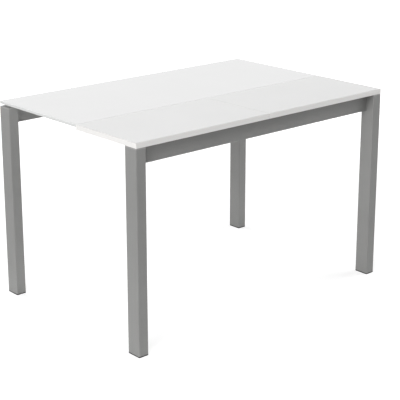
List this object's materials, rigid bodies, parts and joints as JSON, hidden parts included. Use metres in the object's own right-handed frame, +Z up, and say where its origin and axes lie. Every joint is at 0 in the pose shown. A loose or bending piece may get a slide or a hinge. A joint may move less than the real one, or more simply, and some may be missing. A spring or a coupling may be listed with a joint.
{
  "type": "extendable dining table",
  "caption": "Rectangular dining table with a white glass top, a folding leaf laid in along its front, tube legs and telescopic slides that let the front legs move in.",
  "frame": {"origin": "on the floor, at the middle of the open table's box", "axes": "+X along the table's length to the right of its front, +Y from the leaf at the front to the glass at the rear, +Z up"},
  "size_m": [1.2, 0.8, 0.75],
  "materials": {
    "frame_paint": "satin silver-grey powder coat",
    "cap_grey": "moulded light grey",
    "foot_black": "moulded black",
    "zinc": "zinc plated",
    "rail_steel": "zinc plated, roll formed",
    "nylon": "natural",
    "rubber_black": "matt",
    "white_glass": "polished, white lacquer behind",
    "disc_aluminium": "turned",
    "clear_silicone": "translucent",
    "leaf_white": "white laminate on particle board",
    "edge_white": "white edge band"
  },
  "bodies": {
    "rear_frame": {"leg_rear_left": "frame_paint", "leg_rear_right": "frame_paint", "foot_rear_left": "foot_black", "foot_rear_right": "foot_black", "leg_cap_rear_left": "cap_grey", "leg_cap_rear_right": "cap_grey", "apron_rear": "frame_paint", "spigot_rear_left": "frame_paint", "spigot_rear_right": "frame_paint", "apron_screws_rear": "zinc", "outer_rail_left": "rail_steel", "outer_rail_right": "rail_steel", "rail_screws_rear": "zinc", "outer_glides": "nylon", "outer_stops": "zinc", "cross_beam_front": "frame_paint", "cross_beam_rear": "frame_paint", "beam_plugs": "foot_black", "leaf_arm_left": "frame_paint", "leaf_arm_right": "frame_paint", "leaf_arm_centre": "frame_paint", "closing_buffers": "rubber_black", "glass_top": "white_glass", "glass_discs": "disc_aluminium", "glass_screws": "zinc", "glass_pads": "clear_silicone"},
    "front_frame": {"leg_front_left": "frame_paint", "leg_front_right": "frame_paint", "foot_front_left": "foot_black", "foot_front_right": "foot_black", "leg_cap_front_left": "cap_grey", "leg_cap_front_right": "cap_grey", "apron_front": "frame_paint", "spigot_front_left": "frame_paint", "spigot_front_right": "frame_paint", "apron_screws_front": "zinc", "inner_rail_left": "rail_steel", "inner_rail_right": "rail_steel", "rail_screws_front": "zinc", "inner_glides": "nylon", "leaf_bumpers": "rubber_black"},
    "mid_rails": {"mid_rail_left": "rail_steel", "mid_rail_right": "rail_steel", "mid_glides": "nylon", "mid_stops": "zinc"},
    "leaf_hinge": {"hinge_pins": "zinc"},
    "leaf_left": {"leaf_board_left": "leaf_white", "leaf_edging_left": "edge_white", "hinge_plates_left": "zinc", "hinge_screws_left": "zinc"},
    "leaf_right": {"leaf_board_right": "leaf_white", "leaf_edging_right": "edge_white", "hinge_plates_right": "zinc", "hinge_screws_right": "zinc"}
  },
  "joints": [
    {"name": "front_slide", "type": "slide", "parent": "rear_frame", "child": "front_frame", "axis": [0, 1, 0], "range_m": [0, 0.326]},
    {"name": "mid_slide", "type": "slide", "parent": "rear_frame", "child": "mid_rails", "axis": [0, 1, 0], "range_m": [0, 0.163]},
    {"name": "leaf_lift", "type": "slide", "parent": "rear_frame", "child": "leaf_hinge", "axis": [0, 0, 1], "range_m": [0, 0.9425]},
    {"name": "left_fold", "type": "hinge", "parent": "leaf_hinge", "child": "leaf_left", "pos_m": [0, -0.23725, 0.7284], "axis": [0, -1, 0], "range_deg": [0, 90]},
    {"name": "right_fold", "type": "hinge", "parent": "leaf_hinge", "child": "leaf_right", "pos_m": [0, -0.23725, 0.7284], "axis": [0, 1, 0], "range_deg": [0, 90]}
  ],
  "couplings": [
    {"joint": "mid_slide", "follows": "front_slide", "ratio": 0.5},
    {"joint": "left_fold", "follows": "leaf_lift", "rad_per_m": 1.6666},
    {"joint": "right_fold", "follows": "leaf_lift", "rad_per_m": 1.6666}
  ]
}
